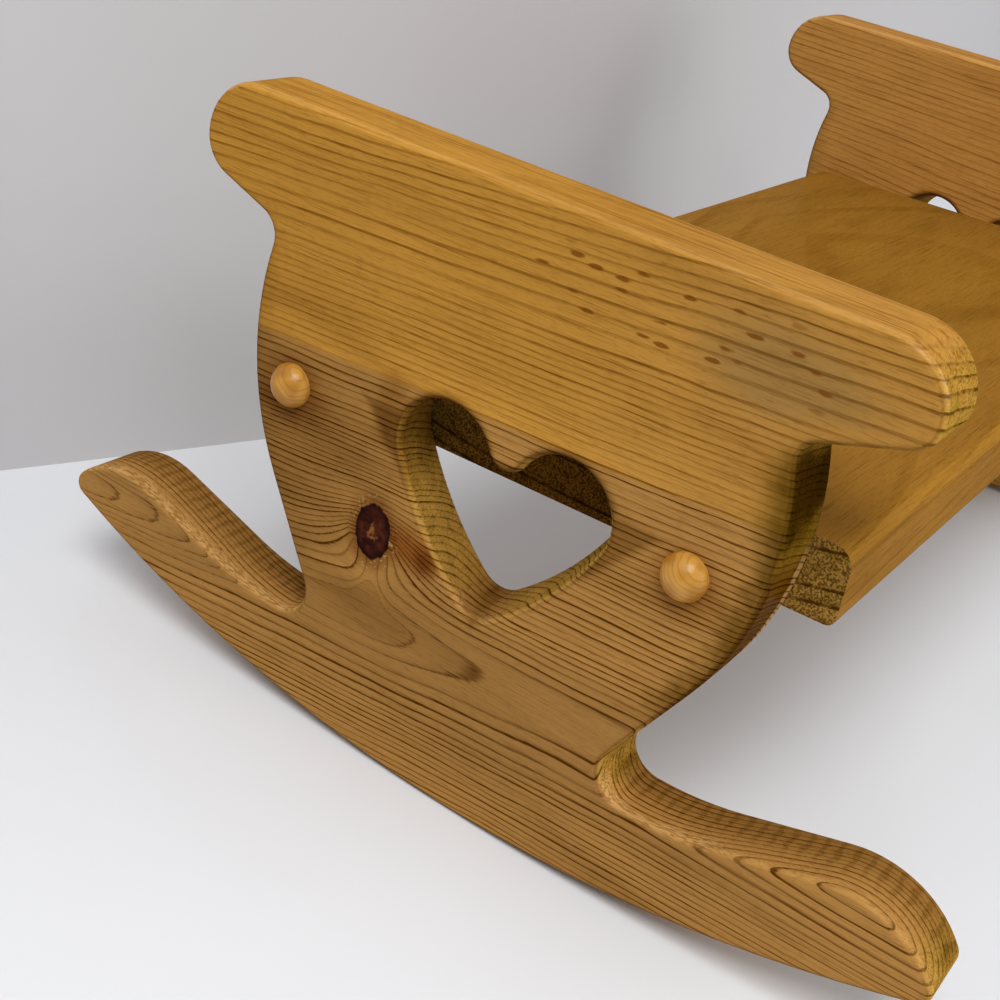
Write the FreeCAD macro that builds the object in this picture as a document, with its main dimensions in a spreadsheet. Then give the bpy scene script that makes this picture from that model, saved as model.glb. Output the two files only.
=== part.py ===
import FreeCAD, Part
import math
import os
from enum import IntEnum

import Sketcher

Vector = FreeCAD.Vector

# The bench stands on its rockers with +Z up, its length along X and its front towards -Y.
# Lengths are in millimetres and angles in degrees.
SIZES = {
    # Bench over the outer faces of its ends, and the end boards' thickness, height and eased edges
    "bench_length": 348.0,
    "board_thickness": 19.0,
    "end_height": 159.7,
    "edge_round": 2.0,
    # Head of the end board: a bar with a rounded nose at each end, sawn slimmer and tighter at the front
    "head_length": 189.0,
    "nose_radius": 14.4,
    "front_under_radius": 6.8,
    "back_under_radius": 10.0,
    "shoulder_angle": 19.0,
    "front_neck_radius": 4.5,
    "back_neck_radius": 6.0,
    # Belly of the end board, drawn in to a waist above the rocker
    "belly_width": 145.0,
    "belly_height": 106.5,
    "belly_radius": 81.0,
    "waist_angle": 30.0,
    # Notch between the waist and the rocker's arm
    "notch_radius": 8.0,
    "notch_height": 29.0,
    # Rocker: arms that rise to rounded tips over one long arc
    "arm_radius": 78.0,
    "arm_angle": 17.0,
    "tip_radius": 26.0,
    "heel_radius": 4.0,
    "rocker_length": 264.0,
    "rocker_radius": 337.0,
    # Heart and rocker arc share a centre line a little in front of the head's
    "centre_shift": 5.0,
    "heart_lobe_spacing": 32.8,
    "heart_lobe_radius": 12.8,
    "heart_lobe_height": 93.4,
    "heart_cusp_radius": 5.5,
    "heart_side_radius": 88.0,
    "heart_tip_height": 56.7,
    "heart_tip_radius": 8.0,
    # The heart was sawn leaning: towards the inner face its centre line moves this far to the back
    "heart_lean": 4.6,
    "heart_round": 2.2,
    # Seat board, butted between the ends and sloping down to the back
    "seat_thickness": 19.0,
    "seat_depth": 148.0,
    "seat_height": 84.4,
    "seat_forward": 8.0,
    "seat_slope": 1.65,
    "seat_front_round": 5.0,
    "seat_edge_round": 2.5,
    # Wood screws through the ends into the seat, in from its edges; the front one sits a little low
    "front_screw_inset": 28.2,
    "back_screw_inset": 7.8,
    "front_screw_drop": 2.0,
    "screw_diameter": 4.2,
    "screw_length": 38.0,
    "screw_head_diameter": 8.2,
    "screw_point_length": 7.0,
    "screw_clearance": 0.3,
    "pilot_clearance": 0.1,
    "pilot_runout": 1.0,
    # Button plugs that hide the screw heads
    "plug_bore_depth": 8.0,
    "plug_shank_diameter": 9.5,
    "plug_shank_length": 6.5,
    "plug_shank_chamfer": 0.8,
    "plug_clearance": 0.1,
    "plug_head_diameter": 11.2,
    "plug_head_height": 5.2,
    "plug_rim_height": 1.1,
}

# Distance of an end board's inner face from the middle of the bench
INNER_FACE = "(Sizes.bench_length / 2 - Sizes.board_thickness)"
# A screw's place: in front of the middle along the seat, and below the seat's middle plane
SCREW_REACH = {
    "front": "(Sizes.seat_forward + Sizes.seat_depth / 2 - Sizes.front_screw_inset)",
    "back": "(Sizes.seat_forward - Sizes.seat_depth / 2 + Sizes.back_screw_inset)",
}
SCREW_DROP = {"front": "Sizes.front_screw_drop", "back": "0"}

# Tolerance for an edge that lies across the board, and the least volume that a cut has to take away
FLAT = 1e-6
LEAST_CUT = 1.0
# Radius of a new circle before its dimensions pull it to size
START_RADIUS = 1.0


class End(IntEnum):
    """The ends of the bench, each with its sign along X."""

    LEFT = -1
    RIGHT = 1

    @property
    def word(self):
        """The end's name as the pieces carry it."""
        return self.name.lower()


class Point(IntEnum):
    """The points of a line or an arc, as a sketch numbers them."""

    FIRST = 1
    LAST = 2
    CENTRE = 3


class Axis(IntEnum):
    """The axes of a sketch, as it numbers them."""

    ACROSS = -1
    UP = -2


FIRST, LAST, CENTRE = Point
ORIGIN = (Axis.ACROSS, FIRST)


def make_sheet(doc):
    """The driving sizes as a spreadsheet with one alias per size."""
    sheet = doc.addObject("Spreadsheet::Sheet", "Sizes")
    for row, (name, value) in enumerate(SIZES.items(), start=1):
        sheet.set(f"A{row}", name)
        sheet.set(f"B{row}", str(value))
        sheet.setAlias(f"B{row}", name)
    doc.recompute()
    return sheet


def new_body(doc, label):
    """An empty body whose label names its file."""
    body = doc.addObject("PartDesign::Body", label)
    body.Label = label
    return body


def new_sketch(body, name, plane, offset=None):
    """A sketch on one of the body's own origin planes, moved off it by an expression if given."""
    sketch = body.newObject("Sketcher::SketchObject", name)
    support = next(item for item in body.Origin.OriginFeatures if item.Role == plane)
    sketch.AttachmentSupport = [(support, "")]
    sketch.MapMode = "FlatFace"
    if offset:
        sketch.setExpression("AttachmentOffset.Base.z", offset)
    return sketch


def drive(sketch, name, expression, *constraint):
    """Adds a named dimension and binds it to the sheet."""
    index = sketch.addConstraint(Sketcher.Constraint(*constraint))
    sketch.renameConstraint(index, name)
    sketch.setExpression(f"Constraints.{name}", expression)


class Path:
    """Pieces of a sketch added in order, each one joined to the end of the piece before."""

    def __init__(self, sketch, side=1):
        self.sketch = sketch
        self.side = side
        self.pieces = []

    def line(self, start, end, smooth=True):
        """A straight piece between two points given outward from the centre line."""
        ends = [Vector(self.side * point.x, point.y, 0) for point in (start, end)]
        index = self.sketch.addGeometry(Part.LineSegment(*ends), False)
        return self.join(index, FIRST, LAST, smooth)

    def arc(self, centre, radius, first, sweep, smooth=True):
        """A round piece from the first angle, turning by the sweep, both in degrees."""
        middle = Vector(self.side * centre.x, centre.y, 0)
        if self.side < 0:
            first, sweep = 180 - first, -sweep
        low, high = sorted((math.radians(first), math.radians(first + sweep)))
        circle = Part.Circle(middle, Vector(0, 0, 1), radius)
        index = self.sketch.addGeometry(Part.ArcOfCircle(circle, low, high), False)
        start, end = (FIRST, LAST) if sweep > 0 else (LAST, FIRST)
        return self.join(index, start, end, smooth)

    def join(self, index, start, end, smooth):
        """Ties the new piece to the last one, tangent where the path is smooth."""
        if self.pieces:
            before, _, before_end = self.pieces[-1]
            kind = "Tangent" if smooth else "Coincident"
            self.sketch.addConstraint(Sketcher.Constraint(kind, before, before_end, index, start))
        self.pieces.append((index, start, end))
        return index


def angle_of(vector):
    """Direction of a plane vector in degrees."""
    return math.degrees(math.atan2(vector.y, vector.x))


def heading(degrees):
    """Unit vector at an angle."""
    return Vector(math.cos(math.radians(degrees)), math.sin(math.radians(degrees)), 0)


def along_to_circle(start, step, centre, radius, far):
    """Point where a line from start along step meets a circle, the far or the near one."""
    gap = start - centre
    middle = -gap.dot(step)
    reach = math.sqrt(middle ** 2 - gap.dot(gap) + radius ** 2)
    return start + step * (middle + reach if far else middle - reach)


def add_board_side(sketch, size, side):
    """One side of the end board's outline, from the head's top edge down to the rocker's heel.

    Points are worked out outward from the centre line; the returned path starts at the nose.
    """
    name = "back" if side > 0 else "front"
    shoulder, waist, arm = size("shoulder_angle"), size("waist_angle"), size("arm_angle")
    half_head = size("head_length") / 2
    nose_height = size("end_height") - size("nose_radius")
    under_radius, neck_radius = f"{name}_under_radius", f"{name}_neck_radius"

    nose = Vector(half_head - size("nose_radius"), nose_height, 0)
    under = Vector(half_head - size(under_radius), nose_height, 0)
    below_shoulder = heading(shoulder - 90)
    shoulder_start = under + below_shoulder * size(under_radius)

    belly = Vector(size("belly_width") / 2 - size("belly_radius"), size("belly_height"), 0)
    neck_line = shoulder_start + below_shoulder * size(neck_radius)
    neck_reach = size("belly_radius") + size(neck_radius)
    neck = along_to_circle(neck_line, heading(shoulder), belly, neck_reach, True)
    shoulder_end = neck - below_shoulder * size(neck_radius)
    neck_turn = angle_of(belly - neck) % 360 - (90 + shoulder)
    belly_top = angle_of(neck - belly)

    outward = heading(-waist)
    waist_start = belly + outward * size("belly_radius")
    down = heading(-90 - waist)
    notch_line = waist_start + outward * size("notch_radius")
    notch_centre_height = size("notch_height") + size("notch_radius")
    notch = notch_line + down * ((notch_line.y - notch_centre_height) / -down.y)
    waist_end = notch - outward * size("notch_radius")

    hollow = Vector(notch.x, size("notch_height") + size("arm_radius"), 0)
    below_arm = heading(arm - 90)
    arm_start = hollow + below_arm * size("arm_radius")

    rocker = Vector(-side * size("centre_shift"), size("rocker_radius"), 0)
    heel_x = size("rocker_length") / 2 - size("heel_radius")
    heel_reach = size("rocker_radius") - size("heel_radius")
    heel = Vector(heel_x, rocker.y - math.sqrt(heel_reach ** 2 - (heel_x - rocker.x) ** 2), 0)
    tip_line = arm_start + below_arm * size("tip_radius")
    tip_reach = size("tip_radius") - size("heel_radius")
    tip = along_to_circle(tip_line, heading(arm), heel, tip_reach, False)
    arm_end = tip - below_arm * size("tip_radius")
    tip_end = angle_of(heel - tip)

    path = Path(sketch, side)
    radii = {}
    radii["nose_radius"] = path.arc(nose, size("nose_radius"), 90, -90)
    radii[under_radius] = path.arc(under, size(under_radius), 0, shoulder - 90)
    shoulder_edge = path.line(shoulder_start, shoulder_end)
    radii[neck_radius] = path.arc(neck, size(neck_radius), 90 + shoulder, neck_turn)
    radii["belly_radius"] = path.arc(belly, size("belly_radius"), belly_top, -waist - belly_top)
    waist_edge = path.line(waist_start, waist_end)
    radii["notch_radius"] = path.arc(notch, size("notch_radius"), 180 - waist, 90 + waist)
    radii["arm_radius"] = path.arc(hollow, size("arm_radius"), 270, arm)
    arm_edge = path.line(arm_start, arm_end)
    radii["tip_radius"] = path.arc(tip, size("tip_radius"), 90 + arm, tip_end - 90 - arm)
    radii["heel_radius"] = path.arc(heel, size("heel_radius"), tip_end, angle_of(heel - rocker) - tip_end)

    for radius, index in radii.items():
        drive(sketch, f"{name}_{radius}", f"Sizes.{radius}", "Radius", index, size(radius))
    nose_index, under_index = radii["nose_radius"], radii[under_radius]
    sketch.addConstraint(Sketcher.Constraint("Horizontal", nose_index, CENTRE, under_index, CENTRE))
    notch_index, hollow_index = radii["notch_radius"], radii["arm_radius"]
    sketch.addConstraint(Sketcher.Constraint("Vertical", notch_index, CENTRE, hollow_index, CENTRE))

    def across(label, expression, index, distance):
        """Sideways distance of an arc's centre from the centre line."""
        signed = expression if side > 0 else f"-({expression})"
        drive(sketch, f"{name}_{label}", signed, "DistanceX", *ORIGIN, index, CENTRE, side * distance)

    def above(label, expression, index, height):
        """Height of an arc's centre above the floor."""
        drive(sketch, f"{name}_{label}", expression, "DistanceY", *ORIGIN, index, CENTRE, height)

    across("nose_reach", "Sizes.head_length / 2 - Sizes.nose_radius", nose_index, nose.x)
    across("belly_centre", "Sizes.belly_width / 2 - Sizes.belly_radius", radii["belly_radius"], belly.x)
    across("heel_reach", "Sizes.rocker_length / 2 - Sizes.heel_radius", radii["heel_radius"], heel.x)
    above("belly_height", "Sizes.belly_height", radii["belly_radius"], belly.y)
    above("notch_height", "Sizes.notch_height + Sizes.notch_radius", notch_index, notch.y)

    def slant(label, expression, edge, degrees):
        """Angle of a straight edge, measured from the sketch's horizontal axis."""
        turned = expression if side > 0 else f"180 - ({expression})"
        value = math.radians(degrees if side > 0 else 180 - degrees)
        drive(sketch, f"{name}_{label}", turned, "Angle", edge, value)

    slant("shoulder_angle", "Sizes.shoulder_angle + 180", shoulder_edge, shoulder + 180)
    slant("waist_angle", "-90 - Sizes.waist_angle", waist_edge, -90 - waist)
    slant("arm_angle", "Sizes.arm_angle", arm_edge, arm)
    return path


def add_board_outline(sketch, size):
    """The closed outline of an end board: head, two shaped sides and the rocker's arc."""
    paths = {side: add_board_side(sketch, size, side) for side in (1, -1)}
    half_top = size("head_length") / 2 - size("nose_radius")
    corners = [Vector(side * half_top, size("end_height"), 0) for side in (1, -1)]
    top = sketch.addGeometry(Part.LineSegment(*corners), False)
    sketch.addConstraint(Sketcher.Constraint("Horizontal", top))
    drive(sketch, "end_height", "Sizes.end_height", "DistanceY", *ORIGIN, top, FIRST, size("end_height"))

    centre = Vector(-size("centre_shift"), size("rocker_radius"), 0)
    heels = {side: sketch.getPoint(*path.pieces[-1][::2]) for side, path in paths.items()}
    angles = [math.radians(angle_of(heels[side] - centre)) for side in (-1, 1)]
    circle = Part.Circle(centre, Vector(0, 0, 1), size("rocker_radius"))
    rocker = sketch.addGeometry(Part.ArcOfCircle(circle, *angles), False)
    drive(sketch, "rocker_radius", "Sizes.rocker_radius", "Radius", rocker, size("rocker_radius"))
    drive(sketch, "rocker_shift", "-Sizes.centre_shift", "DistanceX", *ORIGIN, rocker, CENTRE, centre.x)
    drive(sketch, "rocker_lift", "Sizes.rocker_radius", "DistanceY", *ORIGIN, rocker, CENTRE, centre.y)
    for side, top_end, rocker_end in ((1, FIRST, LAST), (-1, LAST, FIRST)):
        nose, nose_start, _ = paths[side].pieces[0]
        heel, _, heel_end = paths[side].pieces[-1]
        sketch.addConstraint(Sketcher.Constraint("Tangent", top, top_end, nose, nose_start))
        sketch.addConstraint(Sketcher.Constraint("Tangent", heel, heel_end, rocker, rocker_end))


def add_heart(sketch, size, centre, forward):
    """The heart: a cusp, two lobes, two long side arcs and a rounded tip.

    Its centre line stands forward of the board's, by an expression of the sheet and that expression's value now.
    """
    shift = Vector(-forward, 0, 0)
    lobe = Vector(size("heart_lobe_spacing") / 2, size("heart_lobe_height"), 0)
    lobe_radius, side_radius = size("heart_lobe_radius"), size("heart_side_radius")
    tip_radius, cusp_radius = size("heart_tip_radius"), size("heart_cusp_radius")
    tip = Vector(0, size("heart_tip_height") + tip_radius, 0)
    cusp_rise = math.sqrt((lobe_radius + cusp_radius) ** 2 - lobe.x ** 2)
    cusp = Vector(0, lobe.y + cusp_rise, 0)
    to_tip = tip - lobe
    near, far = side_radius - lobe_radius, side_radius - tip_radius
    foot = (to_tip.dot(to_tip) + near ** 2 - far ** 2) / (2 * to_tip.Length)
    step = to_tip / to_tip.Length
    bow = lobe + step * foot + Vector(step.y, -step.x, 0) * math.sqrt(near ** 2 - foot ** 2)
    cusp_end = angle_of(lobe - cusp)
    lobe_end, tip_start = angle_of(lobe - bow), angle_of(tip - bow)

    def arc(centre, radius, start, end):
        """Adds an arc that turns anticlockwise from the start angle to the end angle."""
        circle = Part.Circle(centre + shift, Vector(0, 0, 1), radius)
        curve = Part.ArcOfCircle(circle, math.radians(start), math.radians(end))
        return sketch.addGeometry(curve, False)

    def flipped(vector):
        """The same point on the other half of the heart."""
        return Vector(-vector.x, vector.y, 0)

    cusp_arc = arc(cusp, cusp_radius, 180 - cusp_end, 360 + cusp_end)
    lobes = {1: arc(lobe, lobe_radius, lobe_end, 180 + cusp_end)}
    lobes[-1] = arc(flipped(lobe), lobe_radius, -cusp_end, 180 - lobe_end)
    bows = {1: arc(bow, side_radius, tip_start, lobe_end)}
    bows[-1] = arc(flipped(bow), side_radius, 180 - lobe_end, 180 - tip_start)
    tip_arc = arc(tip, tip_radius, 180 - tip_start, 360 + tip_start)

    for half, start, end in ((1, FIRST, LAST), (-1, LAST, FIRST)):
        sketch.addConstraint(Sketcher.Constraint("Tangent", cusp_arc, end, lobes[half], end))
        sketch.addConstraint(Sketcher.Constraint("Tangent", lobes[half], start, bows[half], end))
        sketch.addConstraint(Sketcher.Constraint("Tangent", bows[half], start, tip_arc, end))
        word = "right" if half > 0 else "left"
        place = f"{'' if half > 0 else '-'}Sizes.heart_lobe_spacing / 2 - ({centre})"
        drive(sketch, f"{word}_lobe", "Sizes.heart_lobe_radius", "Radius", lobes[half], lobe_radius)
        drive(sketch, f"{word}_bow", "Sizes.heart_side_radius", "Radius", bows[half], side_radius)
        drive(sketch, f"{word}_place", place, "DistanceX", *ORIGIN, lobes[half], CENTRE,
              half * lobe.x + shift.x)
        drive(sketch, f"{word}_height", "Sizes.heart_lobe_height", "DistanceY", *ORIGIN, lobes[half], CENTRE,
              lobe.y)
    drive(sketch, "cusp", "Sizes.heart_cusp_radius", "Radius", cusp_arc, cusp_radius)
    drive(sketch, "tip", "Sizes.heart_tip_radius", "Radius", tip_arc, tip_radius)
    drive(sketch, "tip_place", f"-({centre})", "DistanceX", *ORIGIN, tip_arc, CENTRE, shift.x)
    drive(sketch, "tip_height", "Sizes.heart_tip_height + Sizes.heart_tip_radius", "DistanceY", *ORIGIN,
          tip_arc, CENTRE, tip.y)


def screw_place(row):
    """Expressions for a screw's Y and Z: it follows the slope of the seat."""
    reach, drop = SCREW_REACH[row], SCREW_DROP[row]
    cosine, sine = "cos(Sizes.seat_slope)", "sin(Sizes.seat_slope)"
    across = f"-{reach} * {cosine} - {drop} * {sine}"
    above = f"Sizes.seat_height + Sizes.seat_thickness / 2 + {reach} * {sine} - {drop} * {cosine}"
    return across, above


def add_circle(sketch, name, diameter, across, above):
    """A circle whose diameter and centre are expressions of the sheet."""
    index = sketch.addGeometry(Part.Circle(Vector(0, 0, 0), Vector(0, 0, 1), START_RADIUS), False)
    drive(sketch, f"{name}_diameter", diameter, "Diameter", index, 2 * START_RADIUS)
    drive(sketch, f"{name}_across", across, "DistanceX", *ORIGIN, index, CENTRE, 0)
    drive(sketch, f"{name}_above", above, "DistanceY", *ORIGIN, index, CENTRE, 0)


def pad(body, name, sketch, length, symmetric=False, reverse=False):
    """Extrudes a sketch by a length bound to the sheet."""
    feature = body.newObject("PartDesign::Pad", name)
    feature.Profile = sketch
    feature.setExpression("Length", length)
    feature.SideType = "Symmetric" if symmetric else "One side"
    feature.Reversed = reverse
    body.Document.recompute()
    return feature


def cut(body, name, sketch, depth):
    """Cuts a sketch to a depth on both sides of its plane, and makes sure that it met wood."""
    before = body.Shape.Volume
    feature = body.newObject("PartDesign::Pocket", name)
    feature.Profile = sketch
    feature.setExpression("Length", f"2 * ({depth})")
    feature.SideType = "Symmetric"
    body.Document.recompute()
    if body.Shape.Volume > before - LEAST_CUT:
        raise RuntimeError(f"{name} cut nothing")
    return feature


def cut_between(body, name, first, last):
    """Cuts straight from one sketch to another like it, and makes sure that it met wood."""
    before = body.Shape.Volume
    feature = body.newObject("PartDesign::SubtractiveLoft", name)
    feature.Profile = first
    feature.Sections = [last]
    feature.Ruled = True
    body.Document.recompute()
    if body.Shape.Volume > before - LEAST_CUT:
        raise RuntimeError(f"{name} cut nothing")
    return feature


def dress(body, kind, name, amount, base, wanted):
    """Rounds or bevels the edges of a feature that lie across the board and that a test picks."""
    edges = enumerate(base.Shape.Edges, start=1)
    picked = [f"Edge{number}" for number, edge in edges if edge.BoundBox.XLength < FLAT and wanted(edge)]
    feature = body.newObject(f"PartDesign::{kind}", name)
    feature.Base = (base, picked)
    feature.setExpression("Radius" if kind == "Fillet" else "Size", amount)
    body.Document.recompute()
    return feature


def end_board(doc, size, end):
    """An end of the bench, rocker and all, cut from one board; its outer face has the plug bores."""
    body = new_body(doc, f"{end.word}_end_board")
    body.setExpression("Placement.Base.x", f"{end:d} * {INNER_FACE}")

    outline = new_sketch(body, "Outline", "YZ_Plane")
    add_board_outline(outline, size)
    board = pad(body, "Board", outline, "Sizes.board_thickness", reverse=end is End.LEFT)
    dress(body, "Fillet", "EasedEdges", "Sizes.edge_round", board, lambda edge: True)

    outer_heart = new_sketch(body, "OuterHeart", "YZ_Plane", f"{end:d} * Sizes.board_thickness")
    add_heart(outer_heart, size, "Sizes.centre_shift", size("centre_shift"))
    inner_heart = new_sketch(body, "InnerHeart", "YZ_Plane")
    inner_centre = size("centre_shift") - size("heart_lean")
    add_heart(inner_heart, size, "Sizes.centre_shift - Sizes.heart_lean", inner_centre)
    cut_out = cut_between(body, "HeartCutOut", outer_heart, inner_heart)
    rim = outer_heart.Shape.BoundBox.united(inner_heart.Shape.BoundBox)
    rim.enlarge(2 * FLAT)

    def heart_rim(edge):
        """Whether an edge, seen along the bench, lies within the heart."""
        box = edge.BoundBox
        return rim.YMin < box.YMin and box.YMax < rim.YMax and rim.ZMin < box.ZMin and box.ZMax < rim.ZMax

    dress(body, "Fillet", "HeartRound", "Sizes.heart_round", cut_out, heart_rim)

    bores = new_sketch(body, "PlugBores", "YZ_Plane", f"{end:d} * Sizes.board_thickness")
    holes = new_sketch(body, "ScrewHoles", "YZ_Plane")
    for row in SCREW_REACH:
        place = screw_place(row)
        add_circle(bores, row, "Sizes.plug_shank_diameter + 2 * Sizes.plug_clearance", *place)
        add_circle(holes, row, "Sizes.screw_diameter + 2 * Sizes.screw_clearance", *place)
    cut(body, "PlugBore", bores, "Sizes.plug_bore_depth")
    drilled = cut(body, "ScrewHole", holes, "Sizes.board_thickness")

    floor = end * (size("board_thickness") - size("plug_bore_depth"))
    hole = size("screw_diameter") + 2 * size("screw_clearance")

    def screw_mouth(edge):
        """Whether an edge is the mouth of a screw hole in the floor of a plug bore."""
        box = edge.BoundBox
        return abs(box.XMin - floor) < FLAT and abs(box.YLength - hole) < FLAT

    cone = "(Sizes.screw_head_diameter - Sizes.screw_diameter) / 2"
    dress(body, "Chamfer", "Countersink", cone, drilled, screw_mouth)
    return body


def seat_board(doc, size):
    """The seat: a plank between the ends, rounded along its front and back edges."""
    body = new_body(doc, "seat_board")
    slope = FreeCAD.Rotation(Vector(-1, 0, 0), size("seat_slope"))
    body.Placement = FreeCAD.Placement(Vector(0, 0, 0), slope)
    body.setExpression("Placement.Base.z", "Sizes.seat_height + Sizes.seat_thickness / 2")
    body.setExpression("Placement.Rotation.Angle", "Sizes.seat_slope")

    front = -size("seat_forward") - size("seat_depth") / 2
    back = size("seat_depth") / 2 - size("seat_forward")
    top = size("seat_thickness") / 2
    small, large = size("seat_edge_round"), size("seat_front_round")
    profile = new_sketch(body, "Plank", "YZ_Plane")
    path = Path(profile)
    under_edge = path.line(Vector(front + small, -top, 0), Vector(back - small, -top, 0))
    corners = {"back_under": path.arc(Vector(back - small, small - top, 0), small, 270, 90)}
    back_edge = path.line(Vector(back, small - top, 0), Vector(back, top - small, 0))
    corners["back_top"] = path.arc(Vector(back - small, top - small, 0), small, 0, 90)
    top_edge = path.line(Vector(back - small, top, 0), Vector(front + large, top, 0))
    corners["front_top"] = path.arc(Vector(front + large, top - large, 0), large, 90, 90)
    front_edge = path.line(Vector(front, top - large, 0), Vector(front, small - top, 0))
    corners["front_under"] = path.arc(Vector(front + small, small - top, 0), small, 180, 90)
    path.join(*path.pieces[0], True)

    for edge, kind in ((under_edge, "Horizontal"), (top_edge, "Horizontal"),
                       (back_edge, "Vertical"), (front_edge, "Vertical")):
        profile.addConstraint(Sketcher.Constraint(kind, edge))
    for corner, index in corners.items():
        radius = "seat_front_round" if corner == "front_top" else "seat_edge_round"
        drive(profile, corner, f"Sizes.{radius}", "Radius", index, size(radius))
    drive(profile, "under", "-Sizes.seat_thickness / 2", "DistanceY", *ORIGIN, under_edge, FIRST, -top)
    drive(profile, "top", "Sizes.seat_thickness / 2", "DistanceY", *ORIGIN, top_edge, FIRST, top)
    drive(profile, "front", "-Sizes.seat_forward - Sizes.seat_depth / 2", "DistanceX", *ORIGIN,
          front_edge, FIRST, front)
    drive(profile, "back", "Sizes.seat_depth / 2 - Sizes.seat_forward", "DistanceX", *ORIGIN,
          back_edge, FIRST, back)
    pad(body, "PlankPad", profile, f"2 * {INNER_FACE}", symmetric=True)

    into_seat = "Sizes.screw_length + Sizes.plug_bore_depth - Sizes.board_thickness + Sizes.pilot_runout"
    diameter = "Sizes.screw_diameter + 2 * Sizes.pilot_clearance"
    for end in End:
        pilots = new_sketch(body, f"{end.word}_pilots", "YZ_Plane", f"{end:d} * {INNER_FACE}")
        for row, reach in SCREW_REACH.items():
            add_circle(pilots, row, diameter, f"-{reach}", f"-{SCREW_DROP[row]}")
        cut(body, f"{end.word}_pilot_holes", pilots, into_seat)
    return body


def turned_body(doc, label, end, row, depth):
    """An empty body on a screw's axis, its +X outward, its origin that deep behind the outer face."""
    body = new_body(doc, label)
    across, above = screw_place(row)
    half_turn = FreeCAD.Rotation(Vector(0, 0, 1), 180)
    body.Placement.Rotation = half_turn if end is End.LEFT else FreeCAD.Rotation()
    body.setExpression("Placement.Base.x", f"{end:d} * (Sizes.bench_length / 2 - {depth})")
    body.setExpression("Placement.Base.y", across)
    body.setExpression("Placement.Base.z", above)
    return body


def turn_profile(body, name, sketch):
    """Revolves a half profile about the sketch's horizontal axis."""
    feature = body.newObject("PartDesign::Revolution", name)
    feature.Profile = sketch
    feature.ReferenceAxis = (sketch, ["H_Axis"])
    feature.Angle = 360
    body.Document.recompute()
    return feature


def button_plug(doc, size, end, row):
    """A turned wooden button: a chamfered shank in the bore and a domed head on the outer face."""
    body = turned_body(doc, f"{end.word}_{row}_plug", end, row, "0")
    length, chamfer = size("plug_shank_length"), size("plug_shank_chamfer")
    shank, head = size("plug_shank_diameter") / 2, size("plug_head_diameter") / 2
    rim, height = size("plug_rim_height"), size("plug_head_height")
    rise = height - rim
    dome_radius = (rise ** 2 + head ** 2) / (2 * rise)
    dome_centre = Vector(height - dome_radius, 0, 0)
    dome_start = angle_of(Vector(rim, head, 0) - dome_centre)

    profile = new_sketch(body, "Button", "XY_Plane")
    path = Path(profile)
    axis = path.line(Vector(height, 0, 0), Vector(-length, 0, 0))
    foot = path.line(Vector(-length, 0, 0), Vector(-length, shank - chamfer, 0), smooth=False)
    bevel = path.line(Vector(-length, shank - chamfer, 0), Vector(chamfer - length, shank, 0), smooth=False)
    barrel = path.line(Vector(chamfer - length, shank, 0), Vector(0, shank, 0), smooth=False)
    under = path.line(Vector(0, shank, 0), Vector(0, head, 0), smooth=False)
    edge = path.line(Vector(0, head, 0), Vector(rim, head, 0), smooth=False)
    dome = path.arc(dome_centre, dome_radius, dome_start, -dome_start, smooth=False)
    path.join(*path.pieces[0], False)

    for point in ((axis, FIRST), (axis, LAST), (dome, CENTRE)):
        profile.addConstraint(Sketcher.Constraint("PointOnObject", *point, Axis.ACROSS))
    profile.addConstraint(Sketcher.Constraint("PointOnObject", under, FIRST, Axis.UP))
    upright, level = (foot, under), (barrel, edge)
    for kind, pieces in (("Vertical", upright), ("Horizontal", level)):
        for piece in pieces:
            profile.addConstraint(Sketcher.Constraint(kind, piece))
    drive(profile, "head_height", "Sizes.plug_head_height", "DistanceX", *ORIGIN, axis, FIRST, height)
    drive(profile, "shank_length", "-Sizes.plug_shank_length", "DistanceX", *ORIGIN, axis, LAST, -length)
    for label, kind in (("bevel_length", "DistanceX"), ("bevel_depth", "DistanceY")):
        drive(profile, label, "Sizes.plug_shank_chamfer", kind, bevel, FIRST, bevel, LAST, chamfer)
    drive(profile, "shank_radius", "Sizes.plug_shank_diameter / 2", "DistanceY", *ORIGIN,
          barrel, LAST, shank)
    drive(profile, "head_radius", "Sizes.plug_head_diameter / 2", "DistanceY", *ORIGIN, edge, FIRST, head)
    drive(profile, "rim_height", "Sizes.plug_rim_height", "DistanceX", edge, FIRST, edge, LAST, rim)
    turn_profile(body, "TurnedButton", profile)
    return body


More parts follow.
